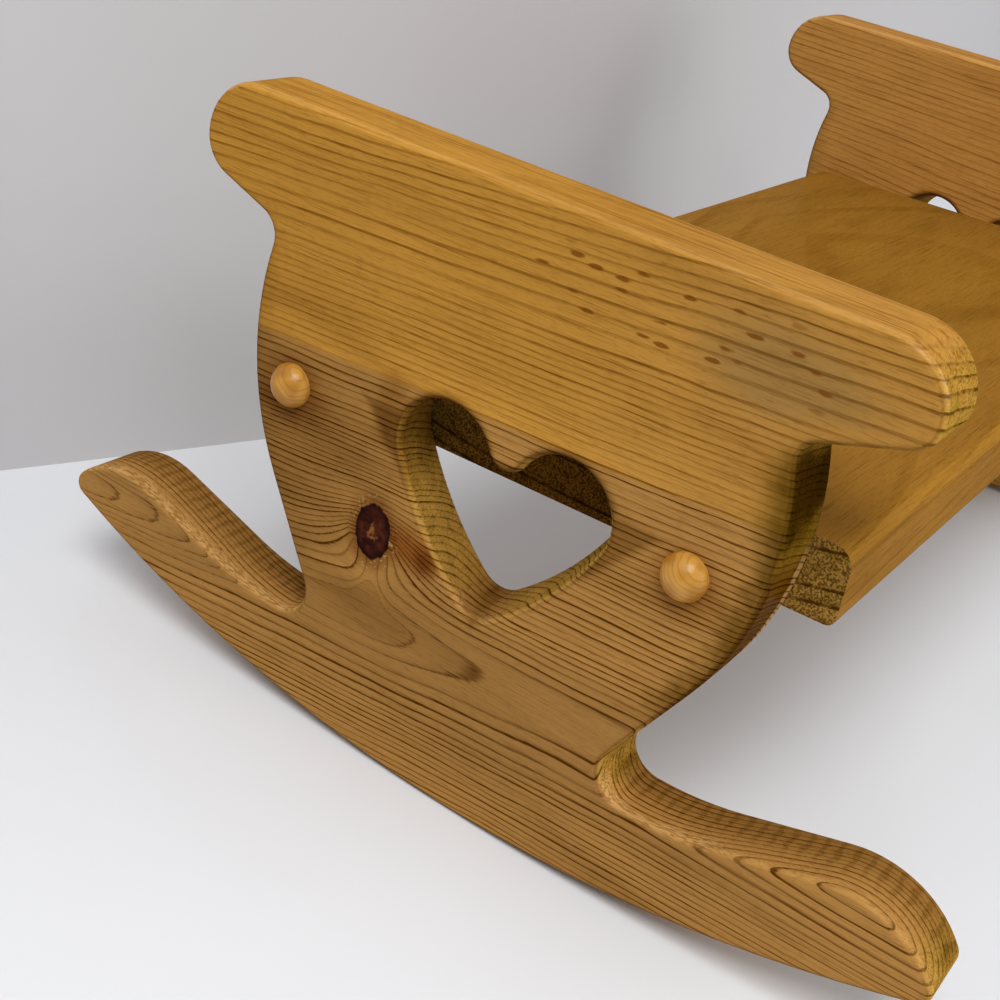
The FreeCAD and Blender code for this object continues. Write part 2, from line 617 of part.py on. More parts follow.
def wood_screw(doc, size, end, row):
    """A countersunk wood screw that draws an end board against the seat, sunk below its plug."""
    body = turned_body(doc, f"{end.word}_{row}_screw", end, row, "Sizes.plug_bore_depth")
    length, point = size("screw_length"), size("screw_point_length")
    shank, head = size("screw_diameter") / 2, size("screw_head_diameter") / 2
    cone = head - shank

    profile = new_sketch(body, "Screw", "XY_Plane")
    path = Path(profile)
    axis = path.line(Vector(-length, 0, 0), Vector(0, 0, 0))
    face = path.line(Vector(0, 0, 0), Vector(0, head, 0), smooth=False)
    taper = path.line(Vector(0, head, 0), Vector(-cone, shank, 0), smooth=False)
    barrel = path.line(Vector(-cone, shank, 0), Vector(point - length, shank, 0), smooth=False)
    path.line(Vector(point - length, shank, 0), Vector(-length, 0, 0), smooth=False)
    path.join(*path.pieces[0], False)

    for kind, *target in (("PointOnObject", axis, FIRST, Axis.ACROSS), ("Coincident", axis, LAST, *ORIGIN),
                          ("Vertical", face), ("Horizontal", barrel)):
        profile.addConstraint(Sketcher.Constraint(kind, *target))
    cone_size = "(Sizes.screw_head_diameter - Sizes.screw_diameter) / 2"
    drive(profile, "length", "-Sizes.screw_length", "DistanceX", *ORIGIN, axis, FIRST, -length)
    drive(profile, "head_radius", "Sizes.screw_head_diameter / 2", "DistanceY", *ORIGIN, face, LAST, head)
    drive(profile, "cone_length", cone_size, "DistanceX", taper, LAST, taper, FIRST, cone)
    drive(profile, "shank_radius", "Sizes.screw_diameter / 2", "DistanceY", *ORIGIN, barrel, FIRST, shank)
    drive(profile, "point", "Sizes.screw_point_length - Sizes.screw_length", "DistanceX", *ORIGIN,
          barrel, LAST, point - length)
    turn_profile(body, "TurnedScrew", profile)
    return body


def check(doc, bodies):
    """Stops if any object failed to build or any piece is not one valid solid."""
    for item in doc.Objects:
        if "Invalid" in item.State or "Error" in item.State:
            raise RuntimeError(f"{item.Label} did not build")
    for body in bodies:
        if body.Shape.isNull() or not body.Shape.isValid() or len(body.Shape.Solids) != 1:
            raise RuntimeError(f"{body.Label} is not one valid solid")


def main():
    """Builds the bench and writes one STEP file for each piece."""
    doc = FreeCAD.newDocument("RockingBench")
    sheet = make_sheet(doc)

    def size(name):
        """A driving size read back from the sheet."""
        return float(sheet.get(name))

    bodies = [end_board(doc, size, end) for end in End]
    bodies.append(seat_board(doc, size))
    for end in End:
        for row in SCREW_REACH:
            bodies.append(button_plug(doc, size, end, row))
            bodies.append(wood_screw(doc, size, end, row))
    doc.recompute()
    check(doc, bodies)

    os.makedirs("parts", exist_ok=True)
    for body in bodies:
        body.Shape.exportStep(f"parts/{body.Label}.step")
        box = body.Shape.optimalBoundingBox()
        print(f"{body.Label}: {body.Shape.Volume:.0f} mm3, "
              f"{box.XLength:.1f} x {box.YLength:.1f} x {box.ZLength:.1f} mm")


main()
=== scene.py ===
"""Looks of a small varnished pine rocking bench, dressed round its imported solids.

The boards and plugs keep their CAD shapes and get a finish: knotty pine for the two end boards and the seat,
turned birch for the button plugs. Threaded screws of plated steel take the place of the plain CAD screws.
The script also sets a plain pale floor, soft light and the camera. Lengths are in millimetres of the part,
and in metres on the stage.
"""

import logging
import math
from dataclasses import dataclass, fields
from enum import Enum
from typing import Any, Optional, Sequence, Union

import bpy
from mathutils import Matrix, Vector


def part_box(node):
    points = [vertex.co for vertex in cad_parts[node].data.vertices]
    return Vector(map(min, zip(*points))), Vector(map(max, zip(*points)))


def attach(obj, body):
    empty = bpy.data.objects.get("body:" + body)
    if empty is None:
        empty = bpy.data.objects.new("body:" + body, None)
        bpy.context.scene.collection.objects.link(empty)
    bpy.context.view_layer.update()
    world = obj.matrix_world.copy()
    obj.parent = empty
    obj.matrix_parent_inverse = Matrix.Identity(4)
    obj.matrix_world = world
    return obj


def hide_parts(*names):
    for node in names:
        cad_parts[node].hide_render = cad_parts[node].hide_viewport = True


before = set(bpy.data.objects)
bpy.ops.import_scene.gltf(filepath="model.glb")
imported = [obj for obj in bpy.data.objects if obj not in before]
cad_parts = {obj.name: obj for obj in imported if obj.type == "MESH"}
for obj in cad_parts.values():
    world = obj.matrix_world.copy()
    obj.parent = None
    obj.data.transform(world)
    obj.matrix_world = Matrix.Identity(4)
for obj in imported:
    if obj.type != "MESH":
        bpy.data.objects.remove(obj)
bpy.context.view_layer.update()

LOG = logging.getLogger("rocking_bench")
MM = 0.001
MM_PER_M = 1000.0
IMAGE_SIDE_PX = 1000
ROWS = ("front", "back")

Colour = tuple[float, float, float, float]
Point2 = tuple[float, float]
Point3 = tuple[float, float, float]
# Multiples of a colour in red, green and blue, and how strongly they show
Tint = tuple[float, float, float, float]
Material = bpy.types.Material
Socket = bpy.types.NodeSocket


def srgb(red: int, green: int, blue: int) -> Colour:
    """Turns a colour written as screen values into the linear values that shaders take.

    Args:
        red: Red from 0 to 255.
        green: Green from 0 to 255.
        blue: Blue from 0 to 255.

    Returns:
        The linear colour with full alpha.
    """
    parts = []
    for level in (red, green, blue):
        share = level / 255.0
        parts.append(share / 12.92 if share <= 0.04045 else ((share + 0.055) / 1.055) ** 2.4)
    return (parts[0], parts[1], parts[2], 1.0)


class Value:
    """One number of a node tree that takes part in Python arithmetic."""

    def __init__(self, tree: "Tree", socket: Socket) -> None:
        """Keeps the socket and the tree that holds it."""
        self.tree = tree
        self.socket = socket

    def math(self, operation: str, *others: "Operand", clamp: bool = False) -> "Value":
        """Adds a Math node with this value as its first input.

        Args:
            operation: The Math node's operation.
            others: The second and third inputs.
            clamp: Whether the result is held between 0 and 1.

        Returns:
            The node's result.
        """
        inputs = dict(enumerate((self, *others)))
        return self.tree.value("ShaderNodeMath", {"operation": operation, "use_clamp": clamp}, inputs)

    def __add__(self, other: "Operand") -> "Value":
        """Adds."""
        return self.math("ADD", other)

    __radd__ = __add__

    def __sub__(self, other: "Operand") -> "Value":
        """Subtracts."""
        return self.math("SUBTRACT", other)

    def __rsub__(self, other: "Operand") -> "Value":
        """Subtracts this value from another."""
        return self.tree.value("ShaderNodeMath", {"operation": "SUBTRACT"}, {0: other, 1: self})

    def __mul__(self, other: "Operand") -> "Value":
        """Multiplies."""
        return self.math("MULTIPLY", other)

    __rmul__ = __mul__

    def __truediv__(self, other: "Operand") -> "Value":
        """Divides."""
        return self.math("DIVIDE", other)

    def __neg__(self) -> "Value":
        """Turns the sign round."""
        return self.math("MULTIPLY", -1.0)

    def __abs__(self) -> "Value":
        """Drops the sign."""
        return self.math("ABSOLUTE")

    def root(self) -> "Value":
        """Takes the square root."""
        return self.math("SQRT")

    def sine(self) -> "Value":
        """Takes the sine of this value in radians."""
        return self.math("SINE")

    def decay(self) -> "Value":
        """Falls from 1 towards 0 as this value grows from 0."""
        return (-self).math("EXPONENT")

    def rest(self) -> "Value":
        """Keeps what is left after the whole number."""
        return self.math("FRACT")

    def least(self, other: "Operand") -> "Value":
        """Takes the smaller of two values."""
        return self.math("MINIMUM", other)

    def most(self, other: "Operand") -> "Value":
        """Takes the larger of two values."""
        return self.math("MAXIMUM", other)

    def over(self, level: float, ease: float) -> "Value":
        """Gives how far this value stands above a level, with an eased corner at the level."""
        return (self - level).math("SMOOTH_MAX", 0.0, ease)

    def step(self, start: "Operand", end: "Operand") -> "Value":
        """Rises smoothly from 0 at start to 1 at end.

        Args:
            start: Where the rise starts.
            end: Where the rise ends.

        Returns:
            The eased share between 0 and 1.
        """
        settings = {"interpolation_type": "SMOOTHSTEP", "clamp": True}
        return self.tree.value("ShaderNodeMapRange", settings, {0: self, 1: start, 2: end, 3: 0.0, 4: 1.0})

    def fade(self, start: "Operand", end: "Operand") -> "Value":
        """Falls smoothly from 1 at start to 0 at end."""
        return 1.0 - self.step(start, end)

    def follow(self, points: Sequence[Point2], ease: float) -> "Value":
        """Reads this value off a line of straight runs with eased corners.

        Args:
            points: The line's points, from the lowest input to the highest.
            ease: How far each side of a corner the easing reaches.

        Returns:
            The line's height at this value.
        """
        (start, height), (end, end_height) = points[0], points[1]
        slope = (end_height - height) / (end - start)
        total = (self - start) * slope + height
        for (here, level), (there, next_level) in zip(points[1:], points[2:]):
            turn = (next_level - level) / (there - here)
            total = total + self.over(here, ease) * (turn - slope)
            slope = turn
        return total


Operand = Union[Value, float, int]
Inputs = dict[Union[int, str], Any]


class Tree:
    """A node tree written with Python expressions."""

    def __init__(self, tree: bpy.types.NodeTree) -> None:
        """Starts the tree empty."""
        self.tree = tree
        self.tree.nodes.clear()

    def node(self, kind: str, settings: Optional[dict[str, Any]] = None,
             inputs: Optional[Inputs] = None) -> bpy.types.Node:
        """Adds any node: its settings first, then the values or links of its sockets.

        Args:
            kind: The node's type.
            settings: Properties of the node by name.
            inputs: Values, sockets or lists of sockets for the node's own sockets, by index or name.

        Returns:
            The new node.
        """
        made = self.tree.nodes.new(kind)
        for name, setting in (settings or {}).items():
            setattr(made, name, setting)
        for key, given in (inputs or {}).items():
            for source in given if isinstance(given, list) else [given]:
                source = source.socket if isinstance(source, Value) else source
                if isinstance(source, Socket):
                    self.tree.links.new(source, made.inputs[key])
                else:
                    made.inputs[key].default_value = source
        return made

    def socket(self, kind: str, inputs: Inputs, output: Union[int, str] = 0, **settings: Any) -> Socket:
        """Adds a node and gives one of its outputs."""
        return self.node(kind, settings, inputs).outputs[output]

    def value(self, kind: str, settings: dict[str, Any], inputs: Inputs) -> Value:
        """Adds a node and wraps its first output as a number."""
        return Value(self, self.node(kind, settings, inputs).outputs[0])

    def point(self, x: Operand, y: Operand, z: Operand) -> Socket:
        """Joins three numbers into a vector."""
        return self.socket("ShaderNodeCombineXYZ", {0: x, 1: y, 2: z})

    def parts(self, vector: Socket) -> list[Value]:
        """Takes a vector apart into its three numbers."""
        return [Value(self, part) for part in self.node("ShaderNodeSeparateXYZ", None, {0: vector}).outputs]


class Shader(Tree):
    """The node tree of one material."""

    def __init__(self, name: str) -> None:
        """Starts an empty material of that name."""
        self.material = bpy.data.materials.new(name)
        self.material.use_nodes = True
        super().__init__(self.material.node_tree)

    def place(self) -> list[Value]:
        """Reads the piece's own X, Y and Z in millimetres."""
        return [part * MM_PER_M for part in self.parts(self.socket("ShaderNodeTexCoord", {}, "Object"))]

    def facing(self) -> list[Value]:
        """Reads the three parts of the surface's normal."""
        return self.parts(self.socket("ShaderNodeNewGeometry", {}, "Normal"))

    def noise(self, x: Operand, y: Operand, z: Operand, detail: float = 2.0) -> Value:
        """Reads soft noise at a point.

        Args:
            x: First coordinate, in sizes of one blotch.
            y: Second coordinate.
            z: Third coordinate.
            detail: How many finer layers are added.

        Returns:
            A number about 0.5.
        """
        inputs = {"Vector": self.point(x, y, z), "Scale": 1.0, "Detail": detail}
        return Value(self, self.socket("ShaderNodeTexNoise", inputs))

    def specks(self, x: Operand, y: Operand, z: Operand) -> Value:
        """Reads the distance to the nearest of many scattered points."""
        inputs = {"Vector": self.point(x, y, z), "Scale": 1.0}
        return Value(self, self.socket("ShaderNodeTexVoronoi", inputs, "Distance"))

    def mix(self, share: Operand, first: Any, second: Any, blend: str = "MIX") -> Socket:
        """Blends two colours.

        Args:
            share: How much of the second colour shows.
            first: A colour or a colour socket.
            second: A colour or a colour socket.
            blend: The Mix node's blend type.

        Returns:
            The mixed colour's socket.
        """
        inputs = {0: share, 6: first, 7: second}
        return self.socket("ShaderNodeMix", inputs, 2, data_type="RGBA", blend_type=blend, clamp_factor=True)

    def tint(self, share: Value, colour: Any, tint: Tint) -> Socket:
        """Multiplies a colour where a mask shows, so that the figure under it stays."""
        *multiples, strength = tint
        return self.mix(share * strength, colour, (*multiples, 1.0), "MULTIPLY")

    def bump(self, height: Value, reach_mm: float, strength: float) -> Socket:
        """Turns a height from 0 to 1 into a normal.

        Args:
            height: The height.
            reach_mm: How far a height of 1 stands up.
            strength: How much of the bump shows.

        Returns:
            The normal's socket.
        """
        inputs = {"Strength": strength, "Distance": reach_mm * MM, "Height": height}
        return self.socket("ShaderNodeBump", inputs)

    def close(self, inputs: Inputs, clear_behind: bool = False) -> Material:
        """Ends the tree in one Principled shader.

        Args:
            inputs: The shader's socket values and links by name.
            clear_behind: Whether the sheet can be looked through from behind.

        Returns:
            The finished material.
        """
        surface = self.socket("ShaderNodeBsdfPrincipled", inputs)
        if clear_behind:
            behind = self.socket("ShaderNodeNewGeometry", {}, "Backfacing")
            clear = self.socket("ShaderNodeBsdfTransparent", {})
            surface = self.socket("ShaderNodeMixShader", {0: behind, 1: surface, 2: clear})
        self.node("ShaderNodeOutputMaterial", None, {"Surface": surface})
        return self.material


class Lay(Enum):
    """Which way a board's fibres run in the bench."""

    ACROSS = "along the bench's depth, as in the end boards"
    ALONG = "along the bench's length, as in the seat"


class Layer(Enum):
    """Noise in pine: length along the fibres, size across them, offset and number of finer layers."""

    BROAD_BEND = (90.0, 40.0, 1.0, 2.0)
    FINE_BEND = (22.0, 7.0, 2.0, 2.0)
    FIBRE = (15.0, 0.34, 5.0, 2.0)
    MOTTLE = (46.0, 12.0, 9.0, 2.0)
    KNOT_EDGE = (2.2, 2.2, 21.0, 2.0)
    FLECK_EDGE = (2.5, 0.8, 31.0, 1.0)
    TORN = (5.0, 3.0, 41.0, 2.0)
    STREAKS = (80.0, 1.1, 51.0, 1.0)


class Tone:
    """What figure, edges and wear do to the wood's colour, and a painted highlight on upward arrises."""

    DARK_FIBRE: Tint = (0.62, 0.55, 0.42, 0.75)
    PALE_FIBRE: Tint = (1.16, 1.18, 1.2, 0.6)
    OPEN_PORES: Tint = (0.66, 0.62, 0.55, 0.4)
    PALE_MOTTLE: Tint = (1.16, 1.16, 1.14, 0.6)
    DARK_MOTTLE: Tint = (0.76, 0.72, 0.64, 0.6)
    PALE_BAND: Tint = (1.22, 1.24, 1.3, 0.8)
    END_ARRIS: Tint = (1.2, 1.22, 1.5, 0.7)
    TORN_DARK: Tint = (0.66, 0.72, 0.42, 0.7)
    TORN_PALE: Tint = (1.2, 1.18, 1.1, 0.6)
    SIDE_ARRIS: Tint = (0.5, 0.45, 0.35, 0.7)
    # A painted highlight: upward-facing arrises made lighter and whiter.
    TOP_ARRIS_PAINTED_HIGHLIGHT: Tint = (1.25, 1.3, 1.4, 0.6)
    TOP_STREAKS: Tint = (0.66, 0.54, 0.36, 0.8)
    ARM_SHADE: Tint = (0.56, 0.52, 0.42, 0.8)
    SAW_RIPPLE: Tint = (0.6, 0.56, 0.4, 0.6)
    HEART_RIM: Tint = (0.42, 0.36, 0.22, 0.75)
    BURNISH: Tint = (0.4, 0.38, 0.16, 1.0)
    WORN_WALL: Tint = (0.56, 0.44, 0.28, 0.9)
    KNOT_HALO: Tint = (0.5, 0.36, 0.24, 0.8)
    KNOT_WAVES: Tint = (0.6, 0.55, 0.5, 0.5)


@dataclass(frozen=True)
class Spot:
    """An oval place on a board: its middle along and across the fibres, and its half sizes."""

    along: float
    height: float
    half_along: float
    half_height: float


@dataclass(frozen=True)
class Knot(Spot):
    """A branch cut across by the board's face, and how it pushes the rings aside."""

    push_below: float = 10.0
    push_above: float = 5.0
    push_from: float = 0.8
    reach_along: float = 10.0
    reach_height: float = 7.5
    tail_push: float = 2.6
    tail_shift: float = 1.5
    tail_half: float = 4.0
    tail_rise: float = 8.0
    stop_at: float = 5.72
    dust: Colour = srgb(190, 152, 92)
    dark: Colour = srgb(40, 14, 8)
    brown: Colour = srgb(82, 38, 22)
    rim: Colour = srgb(24, 8, 4)
    crack: Colour = srgb(150, 98, 48)


@dataclass(frozen=True)
class StainOrPaintedShade(Spot):
    """A soft patch of another tone, on a board's faces or on its edges; some are real stains and some are
    painted shade or a painted shadow.
    """

    tint: Tint
    on_face: bool = True


@dataclass(frozen=True)
class Flecks(Spot):
    """Small resin marks gathered in one part of a board."""

    colour: Colour = srgb(112, 62, 6)
    length: float = 8.5
    width: float = 2.5
    slope: float = 0.04


@dataclass(frozen=True)
class PineBoard:
    """How one pine board grew and how it was cut."""

    name: str
    lay: Lay
    seed: float
    face_at: float
    depth_sign: float
    grain_slope: float
    pith_depth: tuple[Point2, ...]
    band_low: float
    band_high: float
    low_run: tuple[Point2, ...]
    rings: tuple[Point2, ...]
    golden_from: float
    contrast: float = 1.0
    tongue: Optional[Point2] = None
    early: Colour = srgb(173, 126, 65)
    late: Colour = srgb(88, 48, 0)
    golden_early: Colour = srgb(181, 130, 52)
    golden_late: Colour = srgb(114, 68, 0)
    end_grain: Colour = srgb(172, 131, 52)
    end_pores: Colour = srgb(84, 56, 10)
    end_rings: float = 0.3
    end_pore_range: Point2 = (0.45, 0.66)
    end_pore_share: float = 0.6
    torn_pale: Colour = srgb(196, 152, 92)
    torn_dark: Colour = srgb(150, 106, 52)
    knots: tuple[Knot, ...] = ()
    # Real stains, and patches of painted shade and painted shadow.
    stains: tuple[StainOrPaintedShade, ...] = ()
    flecks: tuple[Flecks, ...] = ()
    heart: bool = False


@dataclass(frozen=True)
class HeartRim:
    """The heart's opening, for the darker, handled wood round it; it leans through the board."""

    middle: float = 5.0
    lean_per_depth: float = 4.6 / 19.0
    lobe_offset: float = 16.4
    lobe_height: float = 93.4
    lobe_radius: float = 12.8
    tip_height: float = 56.7
    side_slope_along: float = 0.73
    side_slope_height: float = 0.68
    lid_height: float = 97.0
    wander: float = 3.0
    band: Point2 = (0.2, 3.2)


@dataclass(frozen=True)
class BellyEdge:
    """The end board's side, for the wood that hands have darkened along it, most at the front."""

    half_width: float = 72.5
    height: float = 106.5
    radius: float = 81.0
    band: float = 8.0
    low: Point2 = (50.0, 66.0)
    high: Point2 = (126.0, 135.0)
    change: Point2 = (-20.0, 20.0)
    back_share: float = 0.35
    front_share: float = 0.95


@dataclass(frozen=True)
class WornWall:
    """The front side's lower wall: worn smooth and dark, with split fibres along its inner edge."""

    along: Point2 = (44.0, 52.0)
    low: Point2 = (50.0, 58.0)
    high: Point2 = (97.0, 107.0)
    smooth: float = 0.8
    split_wander: float = 4.0
    split_depth: Point2 = (13.0, 14.5)
    split_share: float = 0.75


@dataclass(frozen=True)
class RockerArms:
    """The rocker's arms: calm rings on their faces, saw ripples on top and a torn outer lip."""

    out: Point2 = (60.0, 90.0)
    face_top: Point2 = (45.0, 60.0)
    calm: float = 0.3
    top: Point2 = (52.0, 64.0)
    shade_depth: Point2 = (3.0, 14.0)
    ripple_waves: float = 1.75
    ripple_wander: float = 5.0
    ripple_depth: Point2 = (4.0, 12.0)
    lip_wander: float = 6.0
    lip_depth: Point2 = (2.5, 5.0)
    lip_front: Point2 = (72.0, 86.0)
    lip_front_calm: float = 0.85
    lip_share: float = 0.75


class PineFinish:
    """Varnished pine: yearly rings in three dimensions, knots, stains, flecks and worn edges, plus painted
    shade, painted shadows and a painted highlight.
    """

    arms = RockerArms()
    rim = HeartRim()
    side = BellyEdge()
    wall = WornWall()

    def __init__(self, board: PineBoard) -> None:
        """Starts the material of one board, with what every part of it reads."""
        self.board = board
        self.shader = Shader(board.name)
        x, y, z = self.shader.place()
        nx, ny, nz = self.shader.facing()
        self.is_end_board = board.lay is Lay.ACROSS
        if self.is_end_board:
            self.along, self.height, self.depth = -y, z, (x - board.face_at) * board.depth_sign
            end_facing, flat = abs(ny), abs(nx)
        else:
            self.along, self.height, self.depth = x, y, (z - board.face_at) * board.depth_sign
            end_facing, flat = abs(nx), abs(nz)
        self.face = flat.step(0.5, 0.9)
        self.arris = flat.step(0.08, 0.35) * flat.fade(0.8, 0.985)
        self.upward = nz.step(0.1, 0.6)
        self.head_top = self.upward * (1.0 - self.face) * self.height.step(138.0, 150.0)
        self.fibre = self.wander(Layer.FIBRE)
        self.mottle = self.wander(Layer.MOTTLE)
        self.torn = self.wander(Layer.TORN)
        self.pores = self.shader.noise(self.along / 3.0, self.height / 0.5, self.depth / 0.5, 1.0)
        self.end = end_facing.step(0.4, 0.85)
        if board.heart:
            self.end = self.end * (1.0 - self.worn_wall() * self.wall.smooth)
        self.growth = self.distance_from_pith() + self.fibre * 0.3
        self.golden = self.growth.step(board.golden_from - 0.5, board.golden_from + 0.5)
        self.line, self.darkness = self.ring_lines()

    def wander(self, layer: Layer) -> Value:
        """Reads one layer of noise, about 0."""
        size_along, size_across, offset, detail = layer.value
        shift = self.board.seed * 17.3 + offset
        return self.shader.noise(self.along / size_along + shift, self.height / size_across + shift * 0.7,
                                 self.depth / size_across - shift, detail) - 0.5

    def within(self, spot: Spot) -> tuple[Value, Value, Value]:
        """Measures where a point lies in a spot.

        Args:
            spot: The spot.

        Returns:
            How far it lies along, up and away from the spot's middle, each 1 at the spot's edge.
        """
        across = (self.along - spot.along) / spot.half_along
        up = (self.height - spot.height) / spot.half_height
        return across, up, (across * across + up * up).root()

    def distance_from_pith(self) -> Value:
        """Works out the distance from the tree's middle, bent round the knots.

        Returns:
            The distance in millimetres.
        """
        board = self.board
        level = self.height - self.along * board.grain_slope
        level = level + self.wander(Layer.BROAD_BEND) * 4.0 + self.wander(Layer.FINE_BEND) * 0.9
        above = level.over(board.band_high, 3.0)
        below = (-level).over(-board.band_low, 3.0).follow(board.low_run, 3.0)
        depth = self.depth + self.along.follow(board.pith_depth, 8.0)
        distance = (depth * depth + above * above + below * below).root()
        for knot in board.knots:
            side = self.within(knot)[1].step(-1.0, 1.0)
            away = self.within(Spot(knot.along, knot.height, knot.reach_along, knot.reach_height))[2]
            push = side * (knot.push_above - knot.push_below) + knot.push_below
            aside = (self.along - knot.along - knot.tail_shift) / knot.tail_half
            tail = (1.0 - side) * knot.tail_push * (aside * aside).decay()
            tail = tail * level.step(board.band_high, board.band_high + knot.tail_rise)
            bent = distance - push * (away - knot.push_from).most(0.0).decay() - tail
            distance = distance.least(bent.most(knot.stop_at))
        return distance

    def ring_lines(self) -> tuple[Value, Value]:
        """Draws one dark line a year, soft towards the tree's middle and sharp on its outer side.

        Returns:
            The lines from 0 to 1, and the darkness of each year's line.
        """
        shader, board, growth = self.shader, self.board, self.growth
        year = growth.follow(board.rings, 0.5)
        uneven = shader.noise(year * 0.55 + board.seed, 3.7, 0.0, 0.0) - 0.5
        year = year + uneven * 0.7 * growth.step(9.0, 14.0)
        part = year.rest()
        soft_side = part.step(0.4, 0.85) * 0.25
        sharp_side = (part - growth.fade(8.0, 10.0) * 0.1).step(0.70, 0.84) * 0.75
        line = (soft_side + sharp_side) * part.fade(0.95, 1.0)
        count = year.math("FLOOR") * 1.37 + board.seed
        darkness = shader.noise(count, self.along / 70.0, 0.0, 0.0) * 1.9 - 0.05
        if board.tongue:
            start, end = board.tongue
            inside = self.along.step(start - 8.0, start) * self.along.fade(end, end + 8.0)
            inside = inside * growth.fade(5.6, 6.1)
            darkness = darkness * (1.0 - inside) + inside * 0.5
        return line, darkness

    def heart_distance(self) -> Value:
        """Gives about how far a point of the end board stands outside the heart's opening.

        Returns:
            The distance in millimetres, below 0 inside.
        """
        rim = self.rim
        across = abs(self.along - rim.middle + self.depth * rim.lean_per_depth)
        aside, up = across - rim.lobe_offset, self.height - rim.lobe_height
        lobe = (aside * aside + up * up).root() - rim.lobe_radius
        side = across * rim.side_slope_along - (self.height - rim.tip_height) * rim.side_slope_height
        return lobe.least(side.most(self.height - rim.lid_height))

    def burnish(self) -> Value:
        """Draws the dark, uneven band along the end board's sides.

        Returns:
            The band from 0 to 1.
        """
        side = self.side
        out = abs(self.along) + (side.radius - side.half_width)
        drop = (self.height - side.height).least(0.0)
        inward = side.radius - (out * out + drop * drop).root() + (self.mottle + self.torn) * side.band
        between = self.height.step(*side.low) * self.height.fade(*side.high)
        share = self.along.step(*side.change) * (side.front_share - side.back_share) + side.back_share
        return inward.fade(0.0, side.band) * between * share

    def worn_wall(self) -> Value:
        """Marks where the worn wall lies, from 0 to 1."""
        wall = self.wall
        return self.along.step(*wall.along) * self.height.step(*wall.low) * self.height.fade(*wall.high)

    def planed_wood(self, shown: Value) -> Socket:
        """Colours the long grain.

        Args:
            shown: How strongly each ring shows.

        Returns:
            The colour.
        """
        board, shader, golden = self.board, self.shader, self.golden
        forward = self.along.step(0.0, 65.0)
        hue = golden * (1.0 - forward * 0.4)
        early = shader.mix(hue, board.early, board.golden_early)
        wood = shader.mix(shown, early, shader.mix(hue, board.late, board.golden_late))
        wood = shader.tint(self.fibre.step(0.02, 0.26), wood, Tone.DARK_FIBRE)
        wood = shader.tint((-self.fibre).step(0.02, 0.26), wood, Tone.PALE_FIBRE)
        wood = shader.tint(self.pores.step(0.5, 0.72), wood, Tone.OPEN_PORES)
        wood = shader.tint(self.mottle.step(0.0, 0.3), wood, Tone.PALE_MOTTLE)
        wood = shader.tint((-self.mottle).step(0.0, 0.3), wood, Tone.DARK_MOTTLE)
        band = golden * self.growth.fade(board.golden_from + 1.0, board.golden_from + 10.0)
        return shader.tint(band * (1.0 - forward * 0.7), wood, Tone.PALE_BAND)

    def rough_end(self) -> Socket:
        """Colours the end grain: ridges, open pores and torn patches.

        Returns:
            The colour.
        """
        board, shader = self.board, self.shader
        ridges = self.torn.step(-0.12, 0.15) * 0.6 + board.end_rings + self.arris * 0.5
        rings = (self.line * self.darkness).math("MULTIPLY", ridges, clamp=True)
        rough = shader.tint(self.arris, board.end_grain, Tone.END_ARRIS)
        rough = shader.mix(rings, rough, board.end_pores)
        holes = self.pores.step(*board.end_pore_range) * board.end_pore_share * (1.0 - self.arris * 0.6)
        rough = shader.mix(holes, rough, board.end_pores)
        rough = shader.tint(self.torn.step(0.02, 0.2), rough, Tone.TORN_DARK)
        return shader.tint((-self.torn).step(0.02, 0.2), rough, Tone.TORN_PALE)

    def sawn_arms(self, wood: Socket) -> Socket:
        """Paints the saw's marks on the upper side of the rocker's arms.

        Args:
            wood: The wood's colour so far.

        Returns:
            The new colour.
        """
        shader, board, arms = self.shader, self.board, self.arms
        upper = self.upward * (1.0 - self.face) * self.height.fade(*arms.top)
        wood = shader.tint(upper * self.depth.step(*arms.shade_depth), wood, Tone.ARM_SHADE)
        ripple = (self.along * arms.ripple_waves + self.torn * arms.ripple_wander).sine().step(-0.1, 0.9)
        wood = shader.tint(ripple * upper * self.depth.step(*arms.ripple_depth), wood, Tone.SAW_RIPPLE)
        lip = upper * (self.depth + self.torn * arms.lip_wander).fade(*arms.lip_depth)
        lip = lip * (1.0 - self.along.step(*arms.lip_front) * arms.lip_front_calm)
        torn_wood = shader.mix(self.pores.step(0.42, 0.62), board.torn_pale, board.torn_dark)
        return shader.mix(lip * arms.lip_share, wood, torn_wood)

    def worn_edges(self, wood: Socket) -> Socket:
        """Paints the handled wood round the heart and along the sides.

        Args:
            wood: The wood's colour so far.

        Returns:
            The new colour.
        """
        shader, rim, wall, worn = self.shader, self.rim, self.wall, self.worn_wall()
        away = self.heart_distance() + self.mottle * rim.wander
        wood = shader.tint(away.fade(*rim.band) * (1.0 - self.end), wood, Tone.HEART_RIM)
        wood = shader.tint(self.burnish(), wood, Tone.BURNISH)
        wood = shader.tint(worn * (1.0 - self.face), wood, Tone.WORN_WALL)
        split = worn * (self.depth + self.torn * wall.split_wander).step(*wall.split_depth)
        split = split * (1.0 - self.line * self.darkness)
        return shader.mix(split * wall.split_share, wood, self.board.torn_pale)

